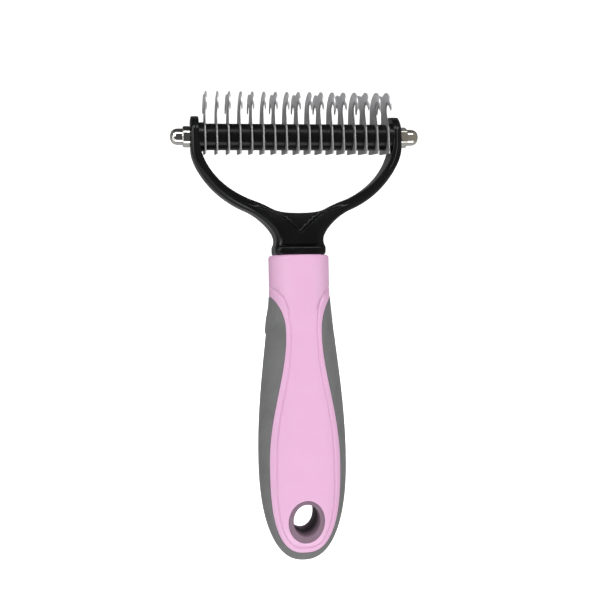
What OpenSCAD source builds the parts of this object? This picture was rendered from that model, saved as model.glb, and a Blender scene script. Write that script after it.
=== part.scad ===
// Two-sided dematting comb for pets: hooked blades and spacers clamped on a threaded
// rod between the arms of a yoke, on a handle with a soft grip and a hanging hole.
// Origin: centre of the hanging hole. +Z runs up the handle to the blades, +X runs
// along the rod, and -Y is the front, where every blade has a hook.

/* [Blades] */
// Number of blades, odd so that both end blades have two hooks
blade_count = 17; // [9:2:17]
// Thickness of one blade
blade_t = 0.5; // [0.4:0.1:0.8]
// Length of one spacer between two blades
spacer_l = 3.65; // [3:0.05:3.7]
// Diameter of the spacers
spacer_d = 9.5; // [8.5:0.1:10]
// Angle by which the blades nod towards the front
blade_nod = 5.5; // [0:0.5:8]
// Height of a blade above the rod's axis
blade_top = 15.7; // [15:0.1:17]
// Distance from a blade's middle to the tip of its hook
hook_reach = 11.2; // [10.4:0.1:12]
// Distance by which a blade's middle lies behind the rod
blade_back = 0.5; // [0:0.1:1]

/* [Rod and cap nuts] */
// Thread size of the rod, as its outer diameter
rod_d = 4; // [3.8:0.1:4.2]
// Height of the rod's axis above the hanging hole
rod_z = 138.8; // [134:0.1:144]
// Width of a cap nut across its flats
nut_flats = 7; // [6.5:0.1:8]
// Full height of a cap nut
nut_h = 7.2; // [7:0.1:9]
// Height of a cap nut's hexagon
nut_hex_h = 2.8; // [2.5:0.1:3.5]
// Diameter of a cap nut's dome
dome_d = 5.9; // [5.7:0.1:6.8]

/* [Yoke] */
// Thickness of an arm's ear at the rod
ear_t = 3; // [2:0.1:3.2]
// Length of the boss that holds the blades off an ear
boss_l = 1.85; // [1:0.05:2.5]
// Depth of the arms, from front to back
arm_depth = 10.6; // [9:0.1:12]
// Height of an ear's back corner above the rod's axis
ear_rise = 8; // [7:0.1:9]
// Half of the neck's width at its narrowest
neck_half = 8.6; // [7.5:0.05:9]
// Depth of the neck, from front to back
neck_depth = 14; // [12:0.1:16]
// Length of the tang inside the handle
tang_l = 36; // [20:1:45]

/* [Handle] */
// Height of the handle's top face above the hanging hole
handle_top = 95.9; // [90:0.1:98]
// Half of the handle's width at its top
top_half = 10.95; // [10.5:0.05:12]
// Half of the handle's width at its belly
belly_half = 16.1; // [14:0.1:18]
// Height of the belly above the hanging hole
belly_z = 23; // [18:0.5:28]
// Distance from the hanging hole down to the handle's bottom
bottom_drop = 15.5; // [14:0.1:18]
// Half of the handle's depth at its top
top_deep = 9.8; // [9:0.1:11]
// Half of the handle's depth at its waist
waist_deep = 11.3; // [10:0.1:12]
// Half of the handle's depth at its belly
belly_deep = 10.5; // [9:0.1:12]
// Thickness of the soft grip over the handle
grip_t = 1.8; // [1:0.1:2.5]

/* [Hanging hole] */
// Diameter of the hole's round throat
hole_d = 9.7; // [8:0.1:10]
// Length of the hole's round throat
throat_l = 12; // [8:0.5:12]

/* [Hidden] */
$fn = 48;
BLADES = [for (i = [1:blade_count]) str("blade_", i < 10 ? "0" : "", i)];
SPACERS = [for (i = [1:blade_count - 1]) str("spacer_", i < 10 ? "0" : "", i)];

pitch = blade_t + spacer_l;
stack_half = (blade_count * blade_t + (blade_count - 1) * spacer_l) / 2;
ear_in = stack_half + boss_l;
ear_out = ear_in + ear_t;
slide_gap = 0.08;
thread_gap = 0.05;
rod_bore_r = rod_d / 2 + slide_gap;
nut_bore_r = rod_d / 2 + thread_gap;
thread_depth = 5.3;
rod_bite = 4.9;
nut_corner_r = nut_flats / 2 * 1.094;
dome_round = 3;
left_nut_turn = 8;
right_nut_turn = 56;
boss_r = spacer_d / 2 + 0.45;
collar_half = neck_half + 0.6;
collar_depth = neck_depth + 1.6;
neck_z = handle_top + 5.4;
arch_z = handle_top + 15.1;
tang_w = 12;
tang_depth = 8;
panel_foot_z = -11.8;
liner_half = 6.6;
liner_rise = 1.3;
curve_steps = 10;

// Points along a cubic curve, leaving out its last point.
function curve(a, b, c, d, n = curve_steps) =
    [for (i = [0:n - 1]) let (t = i / n, s = 1 - t)
        a * s * s * s + b * 3 * s * s * t + c * 3 * s * t * t + d * t * t * t];
function flip(points) = [for (i = [len(points) - 1:-1:0]) [-points[i].x, points[i].y]];
function ease(t) = t * t * (3 - 2 * t);
function mix(a, b, t) = a + (b - a) * t;

// Rounding of the handle's bottom: 1 at the belly, 0 at the lowest point.
function end_round(z) =
    z >= belly_z ? 1
    : pow(1 - pow(min(1, (belly_z - z) / (belly_z + bottom_drop)), 2.35), 1 / 2.35);
function grip_share(z) = pow(max(0, min(1, (85 - z) / (85 - belly_z))), 0.82);
function handle_half(z) = mix(top_half, belly_half, ease(grip_share(z))) * end_round(z);
function handle_deep(z) =
    end_round(z) * (z > 62 ? mix(waist_deep, top_deep, ease((z - 62) / (handle_top - 62)))
    : z > belly_z ? mix(belly_deep, waist_deep, ease((z - belly_z) / (62 - belly_z)))
    : belly_deep);

// Half width of the hard front panel, between the two sides of the soft grip.
function panel_half(z) =
    z > 67.5 ? 6.55 + 0.0069 * pow(z - 67.5, 2.5)
    : z > 20 ? mix(12.95, 6.55, ease(pow((z - 20) / 47.5, 1.12)))
    : 12.95 * pow(1 - pow(min(1, (20 - z) / (20 - panel_foot_z)), 2.6), 1 / 2.6);

// Closed loft of the handle's outside, drawn in by an inset.
module handle_form(inset = 0) {
    sides = 36;
    low = -bottom_drop + inset;
    heights = concat(
        [for (i = [1:9]) belly_z - (belly_z - low) * sin(i * 9.6)],
        [for (i = [0:12]) mix(belly_z, handle_top, i / 12)]
    );
    order = concat([for (i = [8:-1:0]) heights[i]], [for (i = [9:21]) heights[i]]);
    rings = [for (z = order)
        let (w = handle_half(z) - inset, d = handle_deep(z) - inset)
        [for (k = [0:sides - 1]) let (a = 360 * k / sides, c = cos(a), s = sin(a))
            [w * sign(c) * pow(abs(c), 0.86), d * sign(s) * pow(abs(s), 0.86), z]]];
    count = len(rings);
    polyhedron(
        points = [for (ring = rings) each ring],
        faces = concat(
            [[for (k = [0:sides - 1]) k]],
            [[for (k = [sides - 1:-1:0]) (count - 1) * sides + k]],
            [for (r = [0:count - 2]) for (k = [0:sides - 1])
                let (n = (k + 1) % sides, a = r * sides, b = a + sides)
                each [[a + k, b + k, a + n], [a + n, b + k, b + n]]]
        )
    );
}

// Front outline of the hard panel as a prism through the whole handle.
module panel_prism() {
    steps = 26;
    top = 82;
    rise = [for (i = [1:steps]) let (t = i / steps)
        let (z = mix(panel_foot_z, top, 1 - cos(t * 90))) [panel_half(z), z]];
    side = concat([[0, panel_foot_z]], rise, [[20, top], [20, handle_top + 1]]);
    rotate([90, 0, 0])
        linear_extrude(height = 40, center = true)
            polygon(concat(side, flip([for (i = [1:len(side) - 1]) side[i]])));
}

module slot_2d(r, rise) {
    translate([0, rise]) circle(r);
    translate([0, -rise]) circle(r);
    square([2 * r, 2 * rise], center = true);
}

module rounded_2d(w, d, r) {
    square([w - 2 * r, d], center = true);
    square([w, d - 2 * r], center = true);
    for (x = [-1, 1], y = [-1, 1])
        translate([x * (w / 2 - r), y * (d / 2 - r)])
            circle(r);
}

module along_x(x0, x1) {
    translate([x0, 0, rod_z])
        rotate([90, 0, 90])
            linear_extrude(height = x1 - x0)
                children();
}

module liner_slot(extra = 0) {
    rotate([90, 0, 0])
        linear_extrude(height = 40, center = true)
            slot_2d(liner_half + extra, liner_rise);
}

module tang() {
    translate([-tang_w / 2, -tang_depth / 2, handle_top - tang_l])
        cube([tang_w, tang_depth, tang_l + 1]);
}

module handle_body() {
    color("plum")
        difference() {
            union() {
                intersection() {
                    handle_form();
                    panel_prism();
                }
                handle_form(grip_t);
            }
            liner_slot();
            tang();
        }
}

module soft_grip() {
    color("dimgray")
        difference() {
            handle_form();
            panel_prism();
            handle_form(grip_t);
        }
}

module hang_hole_liner() {
    mouth_l = 6;
    color("gray")
        difference() {
            intersection() {
                handle_form();
                liner_slot();
            }
            rotate([90, 0, 0])
                cylinder(d = hole_d, h = 40, center = true);
            for (side = [-1, 1])
                rotate([90 * side, 0, 0])
                    translate([0, 0, throat_l / 2])
                        cylinder(d1 = hole_d, d2 = hole_d + mouth_l, h = mouth_l);
        }
}

// Front outline of the yoke, from the middle of its neck up one arm and back.
module yoke_outline() {
    outer = concat(
        [[neck_half, neck_z - 3]],
        curve([neck_half, neck_z], [neck_half, neck_z + 3.3], [14, 110], [19.1, 112.1]),
        curve([19.1, 112.1], [33.4, 118.1], [ear_out, 130], [ear_out, 134.5]),
        curve([ear_out, rod_z + ear_rise - 3], [ear_out, rod_z + ear_rise - 1],
            [ear_out - 0.2, rod_z + ear_rise], [ear_out - 1.1, rod_z + ear_rise]),
        [[ear_in + 0.4, rod_z + ear_rise], [ear_in, rod_z + ear_rise - 0.4]]
    );
    inner = concat(
        curve([ear_in, 137], [ear_in, 133.5], [32.6, 121.1], [15.3, 115.1]),
        curve([15.3, 115.1], [9.3, 113], [10, arch_z], [0, arch_z])
    );
    half = concat(outer, inner);
    polygon(concat(half, [[0, arch_z]], flip(half)));
}

// Side outline of the yoke: its depth grows from the arms down to the neck, and the
// ears' tops slope down to a rounded front corner.
module yoke_side() {
    top = rod_z + ear_rise;
    arm = arm_depth / 2;
    neck = neck_depth / 2;
    flare = concat(
        [[neck, neck_z - 3]],
        curve([neck, neck_z + 4], [neck, neck_z + 9], [arm, arch_z], [arm, arch_z + 8])
    );
    crown = concat(
        curve([arm, top - 0.7], [arm, top - 0.2], [arm - 0.3, top], [arm - 1, top - 0.05]),
        curve([1.2, top - 0.3], [-1.2, top - 0.6], [-4.9, top - 3], [-arm, top - 5.8]),
        [[-arm, top - 5.8]]
    );
    polygon(concat(flare, crown, flip(flare)));
}

module yoke() {
    notch_half = 5;
    notch_deep = 1.2;
    color([0.13, 0.13, 0.14])
        difference() {
            union() {
                intersection() {
                    rotate([90, 0, 0])
                        linear_extrude(height = 40, center = true)
                            yoke_outline();
                    rotate([90, 0, 90])
                        linear_extrude(height = 100, center = true)
                            yoke_side();
                }
                for (side = [-1, 1])
                    along_x(side * ear_in - boss_l * (side + 1) / 2,
                        side * ear_in + boss_l * (1 - side) / 2)
                        circle(boss_r);
                translate([0, 0, handle_top])
                    linear_extrude(height = 2.7)
                        rounded_2d(2 * collar_half, collar_depth, 4.5);
                tang();
            }
            along_x(-ear_out - 1, ear_out + 1)
                circle(rod_bore_r);
            for (side = [-1, 1])
                translate([0, side * neck_depth / 2, 0])
                    rotate([90, 0, 0])
                        linear_extrude(height = 2 * notch_deep, center = true)
                            polygon([[0, neck_z + 3], [notch_half, arch_z - 1],
                                [-notch_half, arch_z - 1]]);
            difference() {
                translate([-20, -20, handle_top + 2.7])
                    cube([40, 40, 0.6]);
                linear_extrude(height = 200)
                    rounded_2d(2 * neck_half - 0.8, neck_depth - 0.8, 3.5);
            }
        }
}

module threaded_rod() {
    color("silver")
        along_x(-ear_out - rod_bite, ear_out + rod_bite)
            circle(rod_d / 2);
}

// Cap nut standing on its seat, with its blind threaded hole opening downwards.
module cap_nut() {
    dome_r = dome_d / 2;
    shoulder = nut_h - dome_round;
    chamfer = 0.45;
    color("lightgray")
        difference() {
            union() {
                intersection() {
                    cylinder(r = nut_flats / sqrt(3), h = nut_hex_h, $fn = 6);
                    rotate_extrude()
                        polygon([[0, 0], [nut_corner_r - chamfer, 0],
                            [nut_corner_r, chamfer / 2], [nut_corner_r, nut_hex_h - chamfer / 2],
                            [nut_corner_r - chamfer, nut_hex_h], [0, nut_hex_h]]);
                }
                rotate_extrude()
                    polygon(concat([[0, 0], [dome_r, 0]],
                        curve([dome_r, shoulder], [dome_r, nut_h - 0.8],
                            [dome_r - 1.1, nut_h], [0, nut_h]),
                        [[0, nut_h]]));
            }
            translate([0, 0, -1])
                cylinder(r = nut_bore_r, h = thread_depth + 1);
        }
}

module left_cap_nut() {
    translate([-ear_out, 0, rod_z])
        rotate([left_nut_turn, 0, 0])
            rotate([0, -90, 0])
                cap_nut();
}

module right_cap_nut() {
    translate([ear_out, 0, rod_z])
        rotate([right_nut_turn, 0, 0])
            rotate([0, 90, 0])
                cap_nut();
}

// Half outline of a blade on the side that has a hook, from its foot up to its middle.
function hook_side() = concat(
    curve([7.6, -6.1], [6.8, -0.6], [5.9, 4.5], [4.2, 8.9]),
    curve([4.2, 8.9], [4.4, 11], [7.2, 12.9], [hook_reach - 1.2, 9.1]),
    [[hook_reach - 1.2, 9.1]],
    curve([hook_reach, 9.4], [hook_reach + 0.6, 12.6], [9.3, blade_top], [5.4, blade_top]),
    curve([5.4, blade_top], [3.6, blade_top], [2.4, blade_top - 0.8], [0, blade_top - 0.8])
);

// The plain back of a blade with one hook, from its foot up over to the hook's top.
function plain_side() = concat(
    curve([7.6, -6.1], [6.8, -0.6], [6.1, 4.5], [4.9, 8.8]),
    curve([4.9, 8.8], [4.2, 12.6], [-0.8, blade_top], [-5.4, blade_top])
);
function single_front() = [for (i = [0:3 * curve_steps]) hook_side()[i]];

module blade_2d(two_hooks) {
    difference() {
        translate([blade_back, 0])
            polygon(two_hooks
                ? concat(hook_side(), [[0, blade_top - 0.8]], flip(hook_side()))
                : concat(plain_side(), [[-5.4, blade_top]], flip(single_front())));
        circle(rod_bore_r);
    }
}

module blade(i) {
    x = (i - (blade_count + 1) / 2) * pitch;
    color("gainsboro")
        translate([x - blade_t / 2, 0, rod_z])
            rotate([blade_nod, 0, 0])
                rotate([90, 0, 90])
                    linear_extrude(height = blade_t)
                        blade_2d(i % 2 == 1);
}

module spacer(i) {
    x = (i - blade_count / 2) * pitch;
    color([0.1, 0.1, 0.11])
        along_x(x - spacer_l / 2, x + spacer_l / 2)
            difference() {
                circle(spacer_d / 2);
                circle(rod_bore_r);
            }
}

handle_body();
soft_grip();
hang_hole_liner();
yoke();
threaded_rod();
left_cap_nut();
right_cap_nut();
for (i = [1:blade_count]) blade(i);
for (i = [1:blade_count - 1]) spacer(i);
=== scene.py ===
import math

import bpy
import numpy as np
from mathutils import Matrix, Vector
from mathutils.geometry import delaunay_2d_cdt


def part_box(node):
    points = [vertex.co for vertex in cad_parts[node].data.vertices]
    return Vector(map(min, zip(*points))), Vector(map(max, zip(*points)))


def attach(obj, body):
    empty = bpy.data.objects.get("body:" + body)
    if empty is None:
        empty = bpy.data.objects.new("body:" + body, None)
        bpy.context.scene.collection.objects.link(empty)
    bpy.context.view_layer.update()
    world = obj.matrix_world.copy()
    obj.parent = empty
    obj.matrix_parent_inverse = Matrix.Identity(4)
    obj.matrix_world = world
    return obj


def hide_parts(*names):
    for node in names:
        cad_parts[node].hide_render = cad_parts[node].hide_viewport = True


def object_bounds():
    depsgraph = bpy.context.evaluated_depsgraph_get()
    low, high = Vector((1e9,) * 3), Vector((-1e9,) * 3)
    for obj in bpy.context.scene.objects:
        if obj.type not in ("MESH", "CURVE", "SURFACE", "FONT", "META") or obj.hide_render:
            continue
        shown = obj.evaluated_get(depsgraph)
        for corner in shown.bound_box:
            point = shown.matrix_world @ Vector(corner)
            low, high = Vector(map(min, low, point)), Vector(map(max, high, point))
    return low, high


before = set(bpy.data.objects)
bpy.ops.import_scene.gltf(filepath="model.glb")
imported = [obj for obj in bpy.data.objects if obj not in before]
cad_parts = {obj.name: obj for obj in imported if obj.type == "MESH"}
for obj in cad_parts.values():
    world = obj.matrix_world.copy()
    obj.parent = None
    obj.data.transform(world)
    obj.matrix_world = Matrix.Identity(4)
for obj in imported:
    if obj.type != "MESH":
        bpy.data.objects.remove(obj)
cad_low, cad_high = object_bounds()

# ---------------------------------------------------------------- sizes, in millimetres
MM = 0.001


def span(node):
    low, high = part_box(node)
    return np.array(low) / MM, np.array(high) / MM


rod_low, rod_high = span("threaded_rod")
rod_z = (rod_low[2] + rod_high[2]) / 2
rod_r = (rod_high[2] - rod_low[2]) / 2
grip_low, grip_high = span("soft_grip")
handle_top = span("handle_body")[1][2]
handle_end = grip_low[2]
belly_half = grip_high[0]
yoke_top = span("yoke")[1][2]
ear_out = span("right_cap_nut")[0][0]
nut_tip = span("right_cap_nut")[1][0]
spacer_low, spacer_high = span("spacer_01")
spacer_r = (spacer_high[2] - spacer_low[2]) / 2
spacer_half = (spacer_high[0] - spacer_low[0]) / 2
blade_half = (span("blade_01")[1][0] - span("blade_01")[0][0]) / 2
stack_half = span("blade_17")[1][0]

# Handle: heights of its widest and deepest places and of its taper's end, then half
# sizes, the squareness of its section and of its end, and its top edge's rounding.
belly_z, deepest_z, taper_z = 23.0, 62, 85
top_half = 10.95
top_deep, waist_deep, belly_deep = 9.8, 11.3, 10.5
section_power = 2 / 0.86
end_power = 2.35
top_round = 1.1
# Hard panel: its foot, its narrow and wide places, and its groove's distance from the edge.
panel_foot = -11.8
panel_waist, panel_waist_z = 6.55, 67.5
panel_belly, panel_belly_z = 12.95, 20
panel_power = 2.6
groove_in = 2.3
edge_roll = 0.28
# Hanging hole's liner: half width, half height and centre height of each oval.
ring_out = (6.6, 7.95, 0.1)
ring_in = (4.75, 5.85, 0.75)
# Yoke: the ears' inner faces, the neck, half depths, the arch between the arms, bosses.
ear_in = 35.3
neck_half, neck_z = 8.6, handle_top + 5.4
arm_deep = 5.3
neck_deep = 7.0
arch_z = 111.0
boss_r = 5.2
# Blades, from the rod's axis, and how far each nut is turned, in degrees.
blade_nod = math.radians(5.5)
blade_top, blade_tip, blade_back = 15.7, 11.2, 0.5
nut_turns = {"left_cap_nut": -8, "right_cap_nut": 4}


# ---------------------------------------------------------------- small tools
def ease(t):
    t = np.clip(t, 0, 1)
    return t * t * (3 - 2 * t)


def mix(a, b, t):
    return a + (b - a) * t


def unit(v):
    return v / np.maximum(np.linalg.norm(v, axis=-1, keepdims=True), 1e-12)


def bezier(a, b, c, d, count=16):
    """Points along a cubic curve, without its last point."""
    t = (np.arange(count) / count)[:, None]
    a, b, c, d = (np.array(p, float) for p in (a, b, c, d))
    return a * (1 - t) ** 3 + b * 3 * t * (1 - t) ** 2 + c * 3 * t**2 * (1 - t) + d * t**3


def resample(line, count):
    """The line with points at even steps of its length."""
    steps = np.r_[0, np.cumsum(np.linalg.norm(np.diff(line, axis=0), axis=1))]
    at = np.linspace(0, steps[-1], count)
    return np.stack([np.interp(at, steps, line[:, k]) for k in range(line.shape[1])], 1)


def distance(points, line):
    """Distance from each point to an open line."""
    a, ab = line[:-1], np.diff(line, axis=0)
    size = np.maximum((ab**2).sum(1), 1e-12)
    out = np.empty(len(points))
    for i in range(0, len(points), 1000):
        ap = points[i : i + 1000, None] - a
        t = np.clip((ap * ab).sum(2) / size, 0, 1)
        out[i : i + 1000] = np.sqrt(((ap - t[..., None] * ab) ** 2).sum(2).min(1))
    return out


def inside(points, loop):
    """Which points lie inside a closed flat loop."""
    x, z = points[:, :1], points[:, 1:]
    ax, az = loop[:, 0], loop[:, 1]
    bx, bz = np.roll(ax, -1), np.roll(az, -1)
    rise = np.where(bz == az, 1e-12, bz - az)
    crossed = ((az > z) != (bz > z)) & (x < (bx - ax) * (z - az) / rise + ax)
    return crossed.sum(1) % 2 == 1


def sheet(rim, holes, rows, step):
    """Flat triangles over an outline, with its rows kept as edges: points and faces."""
    points, edges = [], []
    for line, closed in [(rim, True)] + [(h, True) for h in holes] + rows:
        start = len(points)
        points += [Vector(p) for p in line]
        edges += [(start + i, start + i + 1) for i in range(len(line) - 1)]
        if closed:
            edges.append((len(points) - 1, start))
    fixed = np.array(points)
    low, high = rim.min(0), rim.max(0)
    lines = []
    for i, z in enumerate(np.arange(low[1] + step / 2, high[1], step * 0.87)):
        xs = np.arange(low[0] + step * (0.25 + 0.5 * (i % 2)), high[0], step)
        lines.append(np.stack([xs, np.full(len(xs), z)], 1))
    grid = np.concatenate(lines)
    keep = inside(grid, rim)
    for hole in holes:
        keep &= ~inside(grid, hole)
    grid = grid[keep]
    near = np.empty(len(grid))
    for i in range(0, len(grid), 1000):
        near[i : i + 1000] = (((grid[i : i + 1000, None] - fixed) ** 2).sum(2)).min(1)
    grid = grid[near > (0.62 * step) ** 2]
    verts, _, faces, *_ = delaunay_2d_cdt(
        points + [Vector(p) for p in grid], edges, [], 0, 1e-5)
    verts = np.array([tuple(v) for v in verts])
    faces = np.array(faces)
    middle = verts[faces].mean(1)
    keep = inside(middle, rim)
    for hole in holes:
        keep &= ~inside(middle, hole)
    return verts, faces[keep]


def offset_line(line, amount, closed=False):
    """A flat line moved sideways, to its left, leaving out points that come too near it."""
    if closed:
        along = np.roll(line, -1, 0) - np.roll(line, 1, 0)
        whole = np.vstack([line, line[:1]])
    else:
        along = np.gradient(line, axis=0)
        whole = line
    side = unit(np.stack([-along[:, 1], along[:, 0]], 1))
    moved = line + side * amount
    return moved[distance(moved, whole) > abs(amount) * 0.97]


def grid_faces(rows, cols, closed=False):
    """Quads of a grid of points, closed across its columns if asked."""
    last = cols if closed else cols - 1
    return [(r * cols + c, r * cols + (c + 1) % cols,
             (r + 1) * cols + (c + 1) % cols, (r + 1) * cols + c)
            for r in range(rows - 1) for c in range(last)]


class Build:
    """Collects patches of points, normals and faces for one mesh."""

    def __init__(self):
        self.co, self.no, self.faces, self.kind = [], [], [], []
        self.count = 0

    def add(self, co, no, faces, kind=0):
        self.co.append(np.asarray(co, float))
        self.no.append(np.asarray(no, float))
        self.faces += [tuple(int(i) + self.count for i in f) for f in faces]
        self.kind += [kind] * len(faces) if np.isscalar(kind) else list(kind)
        self.count += len(co)

    def mirrored(self, axis):
        """Adds the mirror image of all that is there so far."""
        flip = np.ones(3)
        flip[axis] = -1
        co, no = np.concatenate(self.co), np.concatenate(self.no)
        self.add(co * flip, no * flip, [f[::-1] for f in self.faces], list(self.kind))

    def mesh(self, name):
        """Welds equal points, turns each face to its normals, and makes the mesh."""
        co, no = np.concatenate(self.co), np.concatenate(self.no)
        _, first, where = np.unique(np.round(co / 0.004).astype(int), axis=0,
                                    return_index=True, return_inverse=True)
        where = where.ravel()
        points = co[first]
        faces, corner_normals, kinds, seen = [], [], [], set()
        for face, kind in zip(self.faces, self.kind):
            kept = [i for k, i in enumerate(face) if where[i] != where[face[k - 1]]]
            ids = [int(where[i]) for i in kept]
            key = tuple(sorted(ids))
            if len(ids) < 3 or len(set(ids)) < len(ids) or key in seen:
                continue
            seen.add(key)
            p = points[ids]
            across = np.cross(p[1] - p[0], p[2] - p[0])
            if len(ids) == 4:
                across = np.cross(p[2] - p[0], p[3] - p[1])
            if across @ no[kept].sum(0) < 0:
                ids, kept = ids[::-1], kept[::-1]
            faces.append(ids)
            kinds.append(kind)
            corner_normals += [tuple(no[i]) for i in kept]
        data = bpy.data.meshes.new(name)
        data.from_pydata([tuple(p * MM) for p in points], [], faces)
        data.polygons.foreach_set("use_smooth", [True] * len(faces))
        data.polygons.foreach_set("material_index", kinds)
        data.normals_split_custom_set(corner_normals)
        data.update()
        return data


def face_normals(co, faces):
    """Point normals weighted by area, for points and their outward faces."""
    co = np.asarray(co, float)
    total = np.zeros_like(co)
    for face in faces:
        p = co[list(face)]
        across = np.cross(p[2] - p[0], p[3] - p[1]) if len(face) == 4 else np.cross(
            p[1] - p[0], p[2] - p[0])
        for i in face:
            total[i] += across
    return unit(total)


def place(name, data, node, body, slot, *materials, at=None):
    """Puts a mesh in the scene as the piece that stands for a node."""
    piece = bpy.data.objects.new(name, data)
    bpy.context.scene.collection.objects.link(piece)
    if not data.materials:
        for m in materials:
            data.materials.append(m)
    if at is not None:
        piece.matrix_world = at
    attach(piece, body)
    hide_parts(node)
    return piece


# ---------------------------------------------------------------- materials
class Nodes:
    """A short way to write node trees."""

    def __init__(self, tree):
        self.tree = tree
        tree.nodes.clear()

    def new(self, kind, settings=None, **inputs):
        node = self.tree.nodes.new(kind)
        for key, value in (settings or {}).items():
            setattr(node, key, value)
        for key, value in inputs.items():
            socket = node.inputs[int(key[1:])] if key[0] == "i" and key[1:].isdigit() else (
                node.inputs[key.replace("_", " ")])
            if isinstance(value, bpy.types.NodeSocket):
                self.tree.links.new(value, socket)
            else:
                socket.default_value = value
        return node

    def noise(self, where, scale, detail=3.0, roughness=0.55):
        return self.new("ShaderNodeTexNoise", Vector=where, Scale=scale, Detail=detail,
                        Roughness=roughness).outputs["Fac"]

    def between(self, value, low, high, out_low, out_high):
        return self.new("ShaderNodeMapRange", Value=value, From_Min=low, From_Max=high,
                        To_Min=out_low, To_Max=out_high).outputs["Result"]

    def blend(self, share, a, b):
        node = self.new("ShaderNodeMix", {"data_type": "RGBA"})
        for index, value in ((0, share), (6, a), (7, b)):
            if isinstance(value, bpy.types.NodeSocket):
                self.tree.links.new(value, node.inputs[index])
            else:
                node.inputs[index].default_value = value
        return node.outputs[2]

    def math(self, operation, a, b=0.0):
        return self.new("ShaderNodeMath", {"operation": operation}, i0=a, i1=b).outputs[0]


def finish_material(name, tint, shade, rough, metal=0.0, stretch=(1, 1, 1), mottle=90,
                    grain=2600, grain_height=0.02, pores=0.0, specular=0.5, sheen=0.0,
                    soft=0.0, painted_shade=None):
    """A moulded or metal surface: mottled colour, uneven gloss and a fine grain.

    The last argument gives painted shade: an axis, the places along it where the colour is
    darkest and where it is full, and the share of colour lost at the darkest. This stands in
    for shade that falls there; it is not the surface's own colour."""
    m = bpy.data.materials.new(name)
    m.use_nodes = True
    n = Nodes(m.node_tree)
    where = n.new("ShaderNodeTexCoord").outputs["Object"]
    spot = n.new("ShaderNodeMapping", Vector=where, Scale=stretch).outputs[0]
    broad = n.noise(spot, mottle, 4)
    fine = n.noise(spot, grain, 2)
    colour = n.blend(n.between(broad, 0.3, 0.7, 0, 1), (*tint, 1), (*shade, 1))
    # Painted shade: the colour is darkened towards one place along the axis, standing in for
    # shade that falls there.
    if painted_shade:
        axis, dark_at, full_at, loss = painted_shade
        along = n.math("ABSOLUTE", n.new("ShaderNodeSeparateXYZ", Vector=where).outputs[axis])
        colour = n.blend(n.between(along, dark_at, full_at, loss, 0.0), colour, (0, 0, 0, 1))
    gloss = n.math("ADD", n.between(broad, 0.25, 0.75, rough[0], rough[1]),
                   n.between(fine, 0.3, 0.7, -0.02, 0.02))
    height = fine
    if pores:
        cells = n.new("ShaderNodeTexVoronoi", Vector=spot, Scale=grain * 0.5).outputs[0]
        height = n.math("ADD", fine, n.math("MULTIPLY", cells, pores))
    bump = n.new("ShaderNodeBump", Strength=1.0, Distance=grain_height * MM, Height=height)
    surface = n.new("ShaderNodeBsdfPrincipled", Base_Color=colour, Roughness=gloss,
                    Metallic=metal, Specular_IOR_Level=specular, Sheen_Weight=sheen,
                    Subsurface_Weight=soft, Normal=bump.outputs[0])
    if soft:
        surface.inputs["Subsurface Radius"].default_value = (1.0, 0.45, 0.75)
        surface.inputs["Subsurface Scale"].default_value = 0.0012
    n.new("ShaderNodeOutputMaterial", Surface=surface.outputs[0])
    return m


pink_plastic = finish_material(
    "pink_plastic", (0.735, 0.435, 0.635), (0.71, 0.415, 0.615), (0.34, 0.42),
    mottle=60, grain=2200, grain_height=0.006, specular=0.4, soft=0.15)
grey_rubber = finish_material(
    "grey_rubber", (0.164, 0.165, 0.166), (0.138, 0.139, 0.140), (0.62, 0.74),
    mottle=140, grain=3200, grain_height=0.03, pores=0.5, specular=0.3, sheen=0.05)
# Painted shade: the liner's colour darkens by up to 0.9 towards the middle of the hole's
# throat, where shade falls inside the hole.
ring_rubber = finish_material(
    "ring_rubber", (0.215, 0.14, 0.19), (0.185, 0.12, 0.165), (0.6, 0.72),
    mottle=160, grain=3200, grain_height=0.03, pores=0.5, specular=0.3,
    painted_shade=(1, 0.0, 0.0075, 0.9))
black_plastic = finish_material(
    "black_plastic", (0.0032, 0.0034, 0.0037), (0.0044, 0.0047, 0.0052), (0.21, 0.29),
    mottle=110, grain=2600, grain_height=0.008, specular=0.27)
spacer_plastic = finish_material(
    "spacer_plastic", (0.0035, 0.0035, 0.0038), (0.006, 0.006, 0.0064), (0.24, 0.34),
    stretch=(3, 1, 1), mottle=160, grain=2400, grain_height=0.006, specular=0.17)
# Painted shade: the blades' colour darkens by up to 0.3 below 8 mm above the rod's axis,
# fading out by 11 mm. This is on the stems among the spacers, where shade falls between the
# blades.
blade_steel = finish_material(
    "blade_steel", (0.88, 0.88, 0.895), (0.76, 0.76, 0.775), (0.32, 0.42), metal=0.75,
    stretch=(1, 5, 0.5), mottle=240, grain=1500, grain_height=0.006,
    painted_shade=(2, (rod_z + 8) * MM, (rod_z + 11) * MM, 0.3))
ground_steel = finish_material(
    "ground_steel", (0.50, 0.50, 0.51), (0.38, 0.38, 0.39), (0.28, 0.38), metal=0.8,
    stretch=(1, 1, 6), mottle=420, grain=1500, grain_height=0.01)
rod_steel = finish_material(
    "rod_steel", (0.52, 0.51, 0.49), (0.40, 0.39, 0.38), (0.25, 0.40), metal=1.0,
    mottle=300, grain=1800, grain_height=0.006)
nut_chrome = finish_material(
    "nut_chrome", (0.78, 0.77, 0.74), (0.70, 0.68, 0.64), (0.07, 0.16), metal=1.0,
    mottle=420, grain=1600, grain_height=0.003)


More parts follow.
